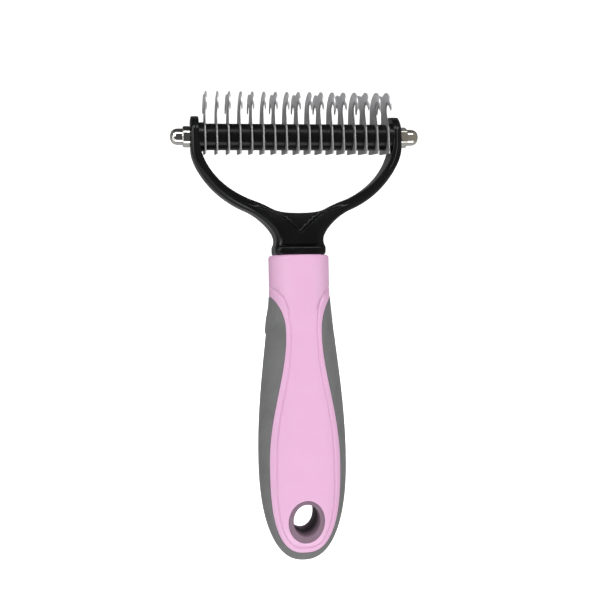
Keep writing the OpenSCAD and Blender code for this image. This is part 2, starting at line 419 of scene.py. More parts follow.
# ---------------------------------------------------------------- handle surface
def handle_half_sizes(z):
    """Half width and half depth of the handle at each height."""
    z = np.asarray(z, float)
    below = np.clip((belly_z - z) / (belly_z - handle_end), 0, 1)
    end = (1 - below**end_power) ** (1 / end_power)
    share = np.clip((taper_z - z) / (taper_z - belly_z), 0, 1) ** 0.82
    wide = mix(top_half, belly_half, ease(share))
    upper = mix(waist_deep, top_deep, ease((z - deepest_z) / (handle_top - deepest_z)))
    lower = mix(belly_deep, waist_deep, ease((z - belly_z) / (deepest_z - belly_z)))
    deep = np.where(z > deepest_z, upper, lower)
    up = np.clip((z - (handle_top - top_round)) / top_round, 0, 1)
    cut = top_round * (1 - np.sqrt(1 - up**2))
    return np.maximum(wide * end - cut, 1e-3), np.maximum(deep * end - cut, 1e-3)


def handle_normals(p):
    """Outward normals of the handle's smooth form."""
    def level(q):
        wide, deep = handle_half_sizes(np.minimum(q[:, 2], handle_top))
        return (np.abs(q[:, 0]) / wide) ** section_power + (
            np.abs(q[:, 1]) / deep) ** section_power
    out = np.zeros_like(p)
    for k in range(3):
        step = np.zeros(3)
        step[k] = 0.01
        up = p + step
        up[:, 2] = np.minimum(up[:, 2], handle_top)
        down = p - step
        down[:, 2] = np.maximum(down[:, 2], handle_end + 0.002)
        out[:, k] = (level(up) - level(down)) / np.maximum(
            np.abs(up[:, k] - down[:, k]), 1e-9)
    return unit(out)


def handle_front(x, z):
    """Depth, as a negative Y, of the handle's front at a place seen from the front."""
    wide, deep = handle_half_sizes(z)
    return -deep * np.maximum(1 - (np.abs(x) / wide) ** section_power, 0) ** (
        1 / section_power)


def handle_point(turn, z):
    """Point of the handle's front half, turn being -90 to 90 degrees across it."""
    wide, deep = handle_half_sizes(z)
    s, c = np.sin(turn), np.maximum(np.cos(turn), 0)
    power = 2 / section_power
    return np.stack([wide * np.sign(s) * np.abs(s) ** power, -deep * c**power, z], 1)


def handle_turn(p):
    """The turn that handle_point needs to reach a point."""
    wide, deep = handle_half_sizes(p[:, 2])
    half = section_power / 2
    return np.sign(p[:, 0]) * np.arctan2(
        (np.abs(p[:, 0]) / wide) ** half, (np.abs(np.minimum(p[:, 1], 0)) / deep) ** half)


def panel_half(z):
    """Half width of the hard panel at each height above its belly."""
    z = np.asarray(z, float)
    share = np.clip((z - panel_belly_z) / (panel_waist_z - panel_belly_z), 0, 1)
    middle = mix(panel_belly, panel_waist, ease(share**1.12))
    flare = 0.0069 * np.maximum(z - panel_waist_z, 0) ** 2.5
    return np.where(z > panel_waist_z, panel_waist + flare, middle)


def panel_edge():
    """The line where the hard panel meets the soft grip, from its foot up to its apex."""
    turn = np.linspace(0, math.pi / 2, 400)
    power = 2 / panel_power
    foot = np.stack([
        panel_belly * np.sin(turn) ** power,
        panel_belly_z - (panel_belly_z - panel_foot) * np.cos(turn) ** power], 1)
    zs = np.linspace(panel_waist_z, taper_z + 1, 4000)
    apex = zs[np.argmax(panel_half(zs) >= handle_half_sizes(zs)[0])]
    rise = apex - (apex - panel_belly_z) * np.linspace(1, 0, 1500)[1:] ** 2
    side = np.stack([np.minimum(panel_half(rise), handle_half_sizes(rise)[0]), rise], 1)
    line = np.vstack([foot, side])
    line[-1] = handle_half_sizes(apex)[0], apex
    return np.column_stack([line[:, 0], handle_front(line[:, 0], line[:, 1]), line[:, 1]])


edge = resample(panel_edge(), 230)
apex_z = edge[-1, 2]
whole_edge = np.vstack([edge, edge[-2::-1] * (1, -1, 1)])


def rolled(gap, radius):
    """Depth of a rounded edge at a distance from it."""
    gap = np.clip(gap, 0, radius)
    return radius - np.sqrt(np.maximum(radius**2 - (radius - gap) ** 2, 0))


def oval(sizes, count):
    """Flat points round an oval of half width, half height and centre height."""
    turn = 2 * math.pi * np.arange(count) / count
    return np.stack([sizes[0] * np.cos(turn), sizes[2] + sizes[1] * np.sin(turn)], 1)


def with_depth(flat):
    return np.column_stack([flat[:, 0], handle_front(flat[:, 0], flat[:, 1]), flat[:, 1]])


ring_line = with_depth(oval(ring_out, 160))
ring_line = np.vstack([ring_line, ring_line[:1]])


def mirror_front(p):
    """Points folded onto the front right quarter, where the edge lines are."""
    return np.column_stack([np.abs(p[:, 0]), -np.abs(p[:, 1]), p[:, 2]])


def groove_gap(z):
    """Distance of the panel's fine groove from its edge."""
    return groove_in + 1.1 * ease((z - 73) / 9) + (
        0.6 * np.exp(-((z - panel_belly_z) / 16) ** 2) - 0.55 * np.exp(-((z - 66) / 9) ** 2))


def panel_height(p):
    """How far the hard panel stands off the smooth form: seams and the fine groove."""
    gap = distance(mirror_front(p), whole_edge)
    hole = distance(np.column_stack([p[:, 0], -np.abs(p[:, 1]), p[:, 2]]), ring_line)
    away = groove_gap(p[:, 2])
    groove = 0.36 * np.exp(-((gap - away) / 0.26) ** 2)
    lip = 0.12 * ease(1 - gap / away)
    return -groove - lip - rolled(gap, edge_roll) - rolled(hole, 0.2)


def thumb_height(p):
    """A small thumb rest on the left of the grip, ending in a slanting crease."""
    over = np.minimum((p[:, 2] - 67.0) - (p[:, 0] + 12.6) * 1.3, (-8.4 - p[:, 0]) * 1.1)
    fade = 1 - ease((p[:, 2] - 71.5) / 7)
    return 0.5 * ease(over / 0.9) * fade * (p[:, 0] < 0)


def grip_height(p):
    gap = distance(mirror_front(p), whole_edge)
    return thumb_height(p) - rolled(gap, edge_roll)


def raised(base, height):
    """Points and normals of a surface moved off the handle's smooth form."""
    normal = handle_normals(base)
    lift = height(base)
    slope = np.zeros_like(base)
    for k in range(3):
        step = np.zeros(3)
        step[k] = 0.02
        slope[:, k] = (height(base + step) - height(base - step)) / 0.04
    along = slope - (slope * normal).sum(1, keepdims=True) * normal
    return base + normal * lift[:, None], unit(normal - along)


def build_shell():
    """The hard handle body: front and back panels, and the sleeve above the grip."""
    scale = 12.0

    def flat(p):
        return np.column_stack([handle_turn(p) * scale, p[:, 2]])

    side = scale * math.pi / 2
    lift = [top_round * math.sin(math.radians(a)) for a in (0, 22, 42, 60, 75)]
    rows_z = [handle_top - top_round + s for s in lift]
    rise = np.r_[np.arange(apex_z + 0.5, rows_z[0] - 0.3, 0.8), rows_z]
    right = flat(edge)
    right[0, 0], right[-1, 0] = 0, side
    across = np.linspace(side, -side, 46)
    rim = np.vstack([
        right,
        np.column_stack([np.full(len(rise), side), rise]),
        np.column_stack([across, np.full(len(across), handle_top)]),
        np.column_stack([np.full(len(rise), -side), rise[::-1]]),
        (right * (-1, 1))[:0:-1]])
    rows = [(np.column_stack([across, np.full(len(across), z)]), False) for z in rows_z]
    tangent = unit(np.gradient(edge, axis=0))
    inward = np.cross(handle_normals(edge), tangent)
    if inward[0, 2] < 0:
        inward = -inward
    for amount in (0.06, 0.16, 0.3, 1.2, 1.75, 2.0, 2.15, 2.3, 2.45, 2.6, 2.85):
        grown = amount + (groove_gap(edge[:, 2]) - groove_in) * (amount > 1)
        moved = edge + inward * grown[:, None]
        moved[0, 0] = 0
        moved[:, 1] = np.minimum(moved[:, 1], 0)
        moved = moved[distance(moved, whole_edge) > grown * 0.95]
        line = flat(moved)
        line[0, 0], line[-1, 0] = 0, side
        rows.append((np.vstack([(line * (-1, 1))[:0:-1], line]), False))
    hole = flat(ring_line[:-1])
    for grow in (0.07, 0.2):
        sizes = (ring_out[0] + grow, ring_out[1] + grow, ring_out[2])
        rows.append((flat(with_depth(oval(sizes, 160))), True))
    points, faces = sheet(rim, [hole], rows, 1.25)
    base = handle_point(points[:, 0] / scale, points[:, 1])
    shell = Build()
    co, no = raised(base, panel_height)
    top = points[:, 1] > handle_top - 1e-4
    co[top] = base[top]
    on_side = np.abs(points[:, 0]) > side - 1e-4
    co[on_side, 1] = 0
    shell.add(co, no, faces)
    for line in (edge, ring_line):
        start, facing = raised(line, panel_height)
        depth = (0, 0.5, 1.3)
        ring = np.vstack([start - handle_normals(line) * d for d in depth])
        skirt_faces = grid_faces(len(depth), len(line))
        out = np.tile(facing, (len(depth), 1))
        shell.add(ring, out, skirt_faces)
        if line is edge:
            shell.add(ring * (-1, 1, 1), out * (-1, 1, 1), skirt_faces)
    rim_top = handle_point(np.linspace(math.pi / 2, -math.pi / 2, 46),
                           np.full(46, handle_top))
    cap = np.vstack([rim_top, rim_top * (0.8, 0.8, 1)])
    shell.add(cap, np.tile((0, 0, 1), (len(cap), 1)), grid_faces(2, 46))
    shell.mirrored(1)
    return shell.mesh("shell")


def build_grip():
    """The soft grip: a band from the panel's edge round the handle's side and end."""
    turn = np.linspace(0, math.pi / 2, 500)
    power = 2 / end_power
    low = np.stack([np.sin(turn) ** power,
                    belly_z - (belly_z - handle_end) * np.cos(turn) ** power], 1)
    low[:, 0] = handle_half_sizes(low[:, 1])[0]
    low[0, 0] = 0
    rise = np.linspace(belly_z, apex_z, 900)[1:]
    outline = np.vstack([low, np.column_stack([handle_half_sizes(rise)[0], rise])])
    outline = resample(outline, len(edge))
    inner = edge[:, [0, 2]]
    reach = np.linalg.norm(outline - inner, axis=1)
    near = np.array([0, 0.05, 0.12, 0.2, 0.3, 0.55])
    count = 20
    rows = []
    for k in range(count + len(near)):
        if k < len(near):
            share = np.minimum(near[k] / np.maximum(reach, 0.9), 1)
        else:
            first = np.minimum(near[-1] / np.maximum(reach, 0.9), 1)
            first = np.arcsin(first) / (math.pi / 2)
            t = (k - len(near) + 1) / count
            share = np.sin((first + (1 - first) * t) * math.pi / 2)
        rows.append(inner + (outline - inner) * share[:, None])
    flat = np.concatenate(rows)
    base = with_depth(flat)
    total = len(near) + count
    base[(total - 1) * len(edge):, 1] = 0
    faces = grid_faces(total, len(edge))
    grip = Build()
    for x in (1, -1):
        for y in (1, -1):
            corner = base * (x, y, 1)
            co, no = raised(corner, grip_height)
            co[np.abs(base[:, 1]) < 1e-6, 1] = 0
            co[np.abs(base[:, 0]) < 1e-6, 0] = 0
            grip.add(co, no, faces)
            start, facing = co[: len(edge)], no[: len(edge)]
            inner_normals = handle_normals(corner[: len(edge)])
            skirt = np.vstack([start, start - inner_normals * 1.3])
            grip.add(skirt, np.tile(facing, (2, 1)), grid_faces(2, len(edge)))
    return grip.mesh("grip")


def build_ring():
    """The hanging hole's soft liner: a flat oval ring whose lip rolls into the hole."""
    count = 128
    outer, inner = oval(ring_out, count), oval(ring_in, count)
    gap = np.linalg.norm(inner - outer, axis=1)
    lip, rim = 0.5, 0.22
    rows = []
    for reach in (0, 0.04, 0.1, 0.16, 0.22, 0.5, 0.8):
        flat = outer + (inner - outer) * (reach / gap)[:, None]
        p = with_depth(flat)
        p[:, 1] += rolled(np.full(count, reach), rim) - 0.1 * ease(reach / 0.8)
        rows.append(p)
    for a in np.radians(np.linspace(0, 90, 8)):
        back = lip * (1 - math.sin(a))
        flat = outer + (inner - outer) * ((gap - back) / gap)[:, None]
        p = with_depth(flat)
        p[:, 1] += lip * (1 - math.cos(a)) - 0.1
        rows.append(p)
    throat = rows[-1][:, 1]
    for share in (0.85, 0.7, 0.5, 0.3, 0.15, 0):
        flat = inner * (1 - 0.03 * ease(1 - share)) + (0, ring_in[2] * 0.03 * ease(1 - share))
        rows.append(np.column_stack([flat[:, 0], throat * share, flat[:, 1]]))
    skirt = rows[0] + (0, 1.2, 0)
    co = np.concatenate([skirt] + rows)
    faces = grid_faces(len(rows) + 1, count, closed=True)
    normals = face_normals(co, faces)
    if normals[count * 6, 1] > 0:
        normals = -normals
    ring = Build()
    ring.add(co, normals, faces)
    ring.mirrored(1)
    return ring.mesh("hole_ring")


# ---------------------------------------------------------------- yoke
def yoke_outline():
    """Right half of the yoke's front outline, from the handle's top round to the arch."""
    collar = np.array([[8.7, handle_top], [8.95, handle_top + 0.3], [9.15, handle_top + 0.8],
                       [9.2, handle_top + 1.5], [9.2, handle_top + 2.3]])
    top = yoke_top
    outer = np.vstack([
        collar,
        bezier([9.2, handle_top + 2.8], [9.15, handle_top + 3.6],
               [neck_half, handle_top + 3.6], [neck_half, neck_z], 12),
        bezier([neck_half, neck_z], [neck_half, neck_z + 3.3], [14, 110], [19.1, 112.1], 40),
        bezier([19.1, 112.1], [33.4, 118.1], [ear_out, 130], [ear_out, 134.5], 50),
        bezier([ear_out, 134.5], [ear_out, 138], [ear_out, 141], [ear_out, top - 3], 12),
        bezier([ear_out, top - 3], [ear_out, top - 1], [ear_out - 0.2, top],
               [ear_out - 1.1, top], 14),
        bezier([ear_out - 1.1, top], [ear_in + 1.2, top], [ear_in + 0.9, top],
               [ear_in + 0.4, top], 6)])
    inner = np.vstack([
        bezier([ear_in + 0.4, top], [ear_in + 0.1, top], [ear_in, top - 0.1],
               [ear_in, top - 0.4], 6),
        bezier([ear_in, top - 0.4], [ear_in, top - 4], [ear_in, 140], [ear_in, 137], 12),
        bezier([ear_in, 137], [ear_in, 133.5], [32.6, 121.1], [15.3, 115.1], 54),
        bezier([15.3, 115.1], [9.3, 113], [10, arch_z], [0, arch_z], 40),
        [[0, arch_z]]])
    return outer, inner


outer_line, inner_line = yoke_outline()
half_outline = np.vstack([outer_line, inner_line])
outline = np.vstack([half_outline, (half_outline * (-1, 1))[-2::-1]])
ridge = np.vstack([
    bezier([0, 103.6], [1.2, 104.2], [5.6, 108.7], [8.2, 110.5], 8),
    bezier([8.2, 110.5], [10.4, 111.9], [17.5, 113.2], [20.7, 114.9], 8),
    bezier([20.7, 114.9], [27.0, 117.9], [36.6, 126.5], [36.7, 136.0], 14),
    [[36.7, 136.0], [36.8, 150.0]]])
whole_ridge = np.vstack([(ridge * (-1, 1))[:0:-1], ridge])
top_front = np.vstack([
    bezier([-5.8, -arm_deep], [-3, -4.9], [-0.6, -1.2], [-0.3, 1.2], 24),
    [[-0.3, 1.2], [0, arm_deep - 1]]])
top_back = np.vstack([
    bezier([-0.7, arm_deep], [-0.2, arm_deep], [-0.05, arm_deep - 0.3],
           [0, arm_deep - 1], 12),
    [[0, arm_deep - 1]]])
outer_side = np.vstack([outer_line[(outer_line[:, 1] < yoke_top - 2.5)],
                        [[ear_out, yoke_top + 2]]])
inner_side = np.vstack([[[ear_in, yoke_top + 2]],
                        inner_line[inner_line[:, 1] < yoke_top - 2.5]])
depth_curve = np.vstack([
    bezier([neck_deep, neck_z + 4], [neck_deep, neck_z + 9], [arm_deep, arch_z],
           [arm_deep, arch_z + 8], 40),
    [[arm_deep, arch_z + 8]]])


def rounding(gap, radius):
    """How much a rounded edge takes off the depth, at a distance from the outline."""
    cut = np.clip(radius - np.maximum(gap, 0.012), 0, None)
    return radius - np.sqrt(np.maximum(radius**2 - cut**2, 0))


def yoke_faces(p):
    """Depth of the yoke's front and of its back, with their edges rounded."""
    x, z = np.abs(p[:, 0]), p[:, 1]
    folded = np.column_stack([x, z])
    deep = np.interp(z, depth_curve[:, 1], depth_curve[:, 0])
    collar = ease((z - handle_top + 0.1) / 0.7) * 0.35 + 0.45
    deep = deep + collar * (1 - ease((z - handle_top - 2.5) / 1.0))
    slot = 0.55 * np.exp(-((z - handle_top - 3.35) / 0.3) ** 2) * (1 - ease((x - 5.0) / 2.4))
    above = (z > np.interp(x, ridge[:, 0], ridge[:, 1])) & (x < 36.7)
    away = distance(folded, ridge)
    cut = mix(1.15 * ease(away / 0.8), 0.12 * ease(away / 0.35) + 0.09 * away,
              ease((x - 9) / 8))
    fade = ease((yoke_top - z) / 1.5)
    deep = deep - arm_deep - slot - np.where(above, cut, 0) * fade
    front = deep - np.interp(z - yoke_top, top_front[:, 0], top_front[:, 1])
    back = deep + np.interp(z - yoke_top, top_back[:, 0], top_back[:, 1])
    radius = mix(2.6, 3.1, ease((z - 108) / 6)) - 1.9 * ease((z - 122) / 10)
    radius = np.clip(np.minimum(radius, 0.45 * (front + back)), 0.02, None) * fade
    round_off = rounding(distance(folded, outer_side), radius) + rounding(
        distance(folded, inner_side), 0.3 * fade)
    return front - round_off, back - round_off


def build_yoke():
    """The black moulding: two rounded faces, the wall between them, and two bosses."""
    foot = np.column_stack([np.linspace(-8, 8, 17), np.full(17, handle_top)])
    rim = np.vstack([outline, foot])
    rows = [(offset_line(outline, s), False) for s in (0.05, 0.15, 0.32, 0.6, 0.95, 1.4)]
    rows += [(whole_ridge, False)] + [
        (offset_line(whole_ridge, s), False) for s in (0.14, 0.3, 0.55)]
    for lift in (0.3, 0.8, 2.2, 2.75, 3.0, 3.2, 3.35, 3.5, 3.7, 3.95):
        rows.append((np.column_stack([np.linspace(-7.9, 7.9, 24),
                                      np.full(24, handle_top + lift)]), False))
    even = []
    for line, closed in rows:
        length = np.linalg.norm(np.diff(line, axis=0), axis=1).sum()
        even.append((resample(line, max(3, int(length / 0.8))), closed))
    points, faces = sheet(rim, [], even, 0.95)
    along = unit(np.gradient(outline, axis=0))
    outward = np.column_stack([along[:, 1], -along[:, 0]])
    near = np.flatnonzero(distance(points, outline) < 0.004)
    step = 0.02
    yoke = Build()
    moved = [yoke_faces(points + d) for d in ((step, 0), (-step, 0), (0, step), (0, -step))]
    for side, deep in enumerate(yoke_faces(points)):
        way = 2 * side - 1
        normals = unit(np.column_stack([
            moved[1][side] - moved[0][side], np.full(len(points), 2 * step * way),
            moved[3][side] - moved[2][side]]))
        for i in near:
            k = ((outline - points[i]) ** 2).sum(1).argmin()
            normals[i] = outward[k, 0], 0, outward[k, 1]
        yoke.add(np.column_stack([points[:, 0], deep * way, points[:, 1]]), normals, faces)
    shares = np.linspace(0, 1, 9)
    front, rear = yoke_faces(outline)
    wall = np.vstack([np.column_stack([outline[:, 0], mix(-front, rear, s), outline[:, 1]])
                      for s in shares])
    wall_out = np.column_stack([outward[:, 0], np.zeros(len(outline)), outward[:, 1]])
    yoke.add(wall, np.tile(wall_out, (len(shares), 1)), grid_faces(len(shares), len(outline)))
    count = 64
    turns = np.linspace(0, 2 * math.pi, count, endpoint=False)
    profile = [(ear_in + 0.1, boss_r), (stack_half + 0.22, boss_r),
               (stack_half + 0.07, boss_r - 0.06), (stack_half, boss_r - 0.22),
               (stack_half, rod_r + 0.1)]
    boss_faces = grid_faces(len(profile), count, closed=True)
    for side in (-1, 1):
        co = np.concatenate([
            np.column_stack([np.full(count, side * x), r * np.cos(turns),
                             rod_z + r * np.sin(turns)]) for x, r in profile])
        no = face_normals(co, boss_faces)
        if no[0, 1] < 0:
            no = -no
        yoke.add(co, no, boss_faces)
    return yoke.mesh("yoke_moulding")


# ---------------------------------------------------------------- blades
def blade_outline(two_hooks):
    """Closed outline of a blade, its front to the left, and its ground edges."""
    foot = bezier([7.6, -6.1], [6.8, -0.6], [5.9, 4.5], [4.2, 8.9], 16)
    under = bezier([4.2, 8.9], [4.4, 11], [7.2, 12.9], [blade_tip - 1.2, 9.1], 24)
    point = bezier([blade_tip - 1.2, 9.1], [blade_tip - 0.9, 8.85], [blade_tip - 0.15, 9.0],
                   [blade_tip, 9.4], 5)
    over = bezier([blade_tip, 9.4], [blade_tip + 0.6, 12.6], [9.3, blade_top],
                  [5.4, blade_top], 20)
    dip = bezier([5.4, blade_top], [3.6, blade_top], [2.4, blade_top - 0.8],
                 [0, blade_top - 0.8], 10)
    hook = np.vstack([foot, under, point, over])
    sharp = np.vstack([foot[-5:], under, point[:1]])
    mirror = (-1, 1)
    if two_hooks:
        front = np.vstack([hook, dip])
        loop = np.vstack([front, [[0, blade_top - 0.8]], (front * mirror)[::-1]])
        sharp = [sharp * mirror, sharp]
    else:
        plain = np.vstack([
            bezier([7.6, -6.1], [6.8, -0.6], [6.1, 4.5], [4.9, 8.8], 18),
            bezier([4.9, 8.8], [4.2, 12.6], [-0.8, blade_top], [-5.4, blade_top], 26)])
        loop = np.vstack([plain, [[-5.4, blade_top]], (hook * mirror)[::-1]])
        sharp = [sharp * mirror]
    return loop + (blade_back, 0), [line + (blade_back, 0) for line in sharp]


def blade_shape(two_hooks):
    """Points, normals and faces of an upright blade at the middle of the row."""
    loop, sharp = blade_outline(two_hooks)
    closed = np.vstack([loop, loop[:1]])
    ground, thinned = 1.15, 0.17
    corner, corner_cut = 0.07, 0.05

    def to_sharp(p):
        return np.min([distance(p, line) for line in sharp], axis=0)

    def thick(p):
        edge_gap = np.minimum(distance(p, closed), corner)
        return blade_half - thinned * (1 - np.clip(to_sharp(p) / ground, 0, 1)) - (
            corner_cut - corner_cut * np.sqrt(1 - (1 - edge_gap / corner) ** 2))

    ahead = np.roll(loop, -1, axis=0)
    inward = 1 if (ahead[:, 0] * loop[:, 1] - loop[:, 0] * ahead[:, 1]).sum() < 0 else -1
    rows = [(offset_line(loop, inward * s, closed=True), True) for s in (0.03, corner)]
    for line in sharp:
        along = np.gradient(line, axis=0)[1:]
        across = unit(np.stack([-along[:, 1], along[:, 0]], 1))
        for side in (-1, 1):
            bevel = line[1:] + across * (ground * side)
            if inside(bevel[len(bevel) // 2][None], loop)[0]:
                keep = inside(bevel, loop) & (distance(bevel, line) > ground * 0.97)
                rows.append((bevel[keep], False))
    turns = np.linspace(0, 2 * math.pi, 40, endpoint=False)
    bore = (rod_r + 0.08) * np.column_stack([np.cos(turns), np.sin(turns)])
    points, faces = sheet(loop, [bore], rows, 0.8)
    half = thick(points)
    step = 0.01
    slope = [(thick(points + d) - thick(points - d)) / (2 * step)
             for d in (np.array([step, 0]), np.array([0, step]))]
    normals = unit(np.column_stack([-np.ones(len(points)), -slope[0], -slope[1]]))
    kinds = (to_sharp(points[faces].mean(1)) < ground).astype(int)
    blade = Build()
    blade.add(np.column_stack([-half, points]), normals, faces, kinds)
    blade.mirrored(0)
    for line in (loop, bore):
        around = np.vstack([line, line[:1]])
        along = unit(np.gradient(around, axis=0))
        out = np.column_stack([np.zeros(len(around)), along[:, 1], -along[:, 0]])
        probe = line[3] + 0.05 * out[3, 1:]
        if inside(probe[None], loop)[0] == (line is loop):
            out = -out
        t = thick(around)
        wall = np.vstack([np.column_stack([t * s, around]) for s in (-1, 0, 1)])
        kinds = (to_sharp(around[:-1]) < 0.02).astype(int)
        blade.add(wall, np.tile(out, (3, 1)), grid_faces(3, len(around)),
                  np.tile(kinds, 2))
    return blade


def build_blade(shape, name, x):
    """A blade nodded towards the front, its top bent a little towards the row's middle."""
    co, no = np.concatenate(shape.co), np.concatenate(shape.no)
    c, s = math.cos(blade_nod), math.sin(blade_nod)
    turn = np.array([[1, 0, 0], [0, c, s], [0, -s, c]])
    along, right = x / stack_half, max(x, 0) / stack_half
    bend_z = 4
    rise = np.clip((co[:, 2] - bend_z) / (blade_top - bend_z), 0, None)
    bend = -(0.3 * along + 0.3 * right + 0.5 * right**12) * rise**1.2
    co = (co + np.column_stack([bend, bend * 0, bend * 0])) @ turn
    blade = Build()
    blade.add(co + (x, 0, rod_z), no @ turn, shape.faces, shape.kind)
    return blade.mesh(name)


# ---------------------------------------------------------------- spacers, rod and nuts
def turned(profile, count):
    """Points and faces of a profile of (x, radius) turned round the rod's axis."""
    turns = np.linspace(0, 2 * math.pi, count, endpoint=False)
    co = np.concatenate([np.column_stack([np.full(count, x), r * np.cos(turns),
                                          r * np.sin(turns)]) for x, r in profile])
    return co, grid_faces(len(profile), count, closed=True)


def outward_normals(co, faces, probe):
    """Point normals, turned so that the probe point's faces away from the axis."""
    normals = face_normals(co, faces)
    p = co[probe]
    return normals if (normals[probe, 1:] * p[1:]).sum() > 0 else -normals


def build_spacer():
    """A round spacer with rounded rims and two faint mould seams."""
    edge_r = 0.28
    half = spacer_half - 0.004
    arc = [(half - edge_r + edge_r * math.sin(a), spacer_r - edge_r + edge_r * math.cos(a))
           for a in np.radians([0, 18, 36, 54, 72, 90])]
    right = [(0.0, spacer_r), (0.9, spacer_r)] + arc + [(half, rod_r + 0.1)]
    profile = [(-x, r) for x, r in right[::-1]] + right[1:]
    count = 72
    co, faces = turned(profile + [profile[0]], count)
    radius = np.linalg.norm(co[:, 1:], axis=1)
    turn = np.arctan2(co[:, 2], -co[:, 1])
    seam = sum(0.05 * np.exp(-((turn - a) / 0.03) ** 2) for a in (-0.5, math.pi - 0.5))
    co[:, 1:] *= (1 + seam * (radius > spacer_r - 0.5) / np.maximum(radius, 1))[:, None]
    spacer = Build()
    spacer.add(co, outward_normals(co, faces, 7 * count), faces)
    return spacer.mesh("spacer")


def build_rod():
    """Threaded rod: a cylinder whose radius follows a helix."""
    count, pitch, per_pitch = 22, 0.7, 5
    xs = np.arange(rod_low[0] + 0.02, rod_high[0] - 0.02, pitch / per_pitch)
    turns = 2 * math.pi * np.arange(count) / count
    phase = (xs[:, None] / pitch - turns[None] / (2 * math.pi)) % 1
    wave = np.abs(phase * 2 - 1)
    end = np.minimum(xs - xs[0], xs[-1] - xs)[:, None]
    radius = rod_r - 0.38 * ease((wave - 0.12) / 0.8) - 0.5 * np.clip(0.6 - end, 0, 1)
    co = np.stack([np.broadcast_to(xs[:, None], radius.shape),
                   radius * np.cos(turns), rod_z + radius * np.sin(turns)], 2).reshape(-1, 3)
    faces = grid_faces(len(xs), count, closed=True)
    probe = (len(xs) // 2) * count
    normals = face_normals(co, faces)
    if normals[probe, 1] * co[probe, 1] < 0:
        normals = -normals
    rod = Build()
    rod.add(co, normals, faces)
    for row in (0, len(xs) - 1):
        ring = co[row * count : (row + 1) * count]
        cap = np.vstack([ring, ring.mean(0)])
        way = (-1, 0, 0) if row == 0 else (1, 0, 0)
        rod.add(cap, np.tile(way, (count + 1, 1)),
                [(i, (i + 1) % count, count) for i in range(count)])
    return rod.mesh("rod_thread")


def build_nut(side):
    """Acorn nut on its seat: hexagon with rounded corners and a domed cap."""
    count = 144
    node = "right_cap_nut" if side > 0 else "left_cap_nut"
    flats, hexagon, dome_r, sharpness = 7.0, 2.8, 2.95, 70
    height = nut_tip - ear_out
    turns = 2 * math.pi * np.arange(count) / count
    sides = np.maximum(np.cos(turns[:, None] - np.radians(np.arange(6) * 60)), 0)
    hexed = flats / 2 * (sides**sharpness).sum(1) ** (-1 / sharpness)

    def ring(x, limit):
        return x, np.minimum(hexed, limit)

    corner = flats / 2 * 1.055
    rows = [(0.35, np.full(count, 2.06)), (0, np.full(count, 2.3)),
            (0, np.full(count, corner - 0.55)), ring(0.03, corner - 0.47),
            ring(0.12, corner - 0.22), ring(0.26, corner), ring(0.34, corner + 0.1),
            ring(hexagon - 0.36, corner + 0.1), ring(hexagon - 0.28, corner),
            ring(hexagon - 0.12, corner - 0.26), ring(hexagon - 0.03, corner - 0.46),
            (hexagon, np.full(count, corner - 0.55)), (hexagon, np.full(count, dome_r + 0.12)),
            (hexagon + 0.04, np.full(count, dome_r + 0.03)),
            (hexagon + 0.14, np.full(count, dome_r)),
            (height - 3.2, np.full(count, dome_r))]
    cap = bezier([height - 3, dome_r], [height - 0.8, dome_r], [height, dome_r - 1.1],
                 [height, 0.02], 20)
    rows += [(x, np.full(count, r)) for x, r in cap] + [(height, np.full(count, 0.02))]
    spin = math.radians(nut_turns[node])
    co = np.concatenate([np.column_stack([
        np.full(count, side * (ear_out + x)),
        -r * np.cos(turns + spin), rod_z + r * np.sin(turns + spin)]) for x, r in rows])
    faces = grid_faces(len(rows), count, closed=True)
    normals = face_normals(co, faces)
    on_dome = 15 * count
    if normals[on_dome, 1] * co[on_dome, 1] < 0:
        normals = -normals
    nut = Build()
    nut.add(co, normals, faces)
    return nut.mesh(node + "_mesh")


# ---------------------------------------------------------------- the pieces
place("handle_shell", build_shell(), "handle_body", "frame", "hard_handle", pink_plastic)
place("grip_band", build_grip(), "soft_grip", "frame", "soft_grip", grey_rubber)
place("hole_ring", build_ring(), "hang_hole_liner", "frame", "hole_liner", ring_rubber)
place("yoke_moulding", build_yoke(), "yoke", "frame", "yoke_plastic", black_plastic)
place("rod_thread", build_rod(), "threaded_rod", "rod", "rod_steel", rod_steel)
place("nut_left", build_nut(-1), "left_cap_nut", "rod", "plated_nut", nut_chrome)
place("nut_right", build_nut(1), "right_cap_nut", "right_nut", "plated_nut", nut_chrome)

blade_shapes = {two: blade_shape(two) for two in (True, False)}
blade_nodes = sorted(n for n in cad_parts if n.startswith("blade_"))
for index, node in enumerate(blade_nodes):
    low, high = span(node)
    data = build_blade(blade_shapes[index % 2 == 0], node + "_mesh", 0.5 * (low[0] + high[0]))
    place("comb_" + node, data, node, "frame", "blade_steel", blade_steel, ground_steel)
spacer_mesh = build_spacer()
for node in sorted(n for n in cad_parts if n.startswith("spacer_")):
    low, high = span(node)
    place("ring_" + node, spacer_mesh, node, "frame", "spacer_plastic", spacer_plastic,
          at=Matrix.Translation((0.5 * (low[0] + high[0]) * MM, 0, rod_z * MM)))


# ---------------------------------------------------------------- studio
def plain_material(name, colour, glow):
    """A matt, faintly mottled surface that gives off some of its own light."""
    m = bpy.data.materials.new(name)
    m.use_nodes = True
    n = Nodes(m.node_tree)
    spot = n.new("ShaderNodeTexCoord").outputs["Object"]
    tone = n.blend(n.noise(spot, 3.0), (*colour, 1), (*(c * 0.985 for c in colour), 1))
    surface = n.new("ShaderNodeBsdfPrincipled", Base_Color=tone, Roughness=0.9,
                    Emission_Color=tone, Emission_Strength=glow)
    n.new("ShaderNodeOutputMaterial", Surface=surface.outputs[0])
    return m


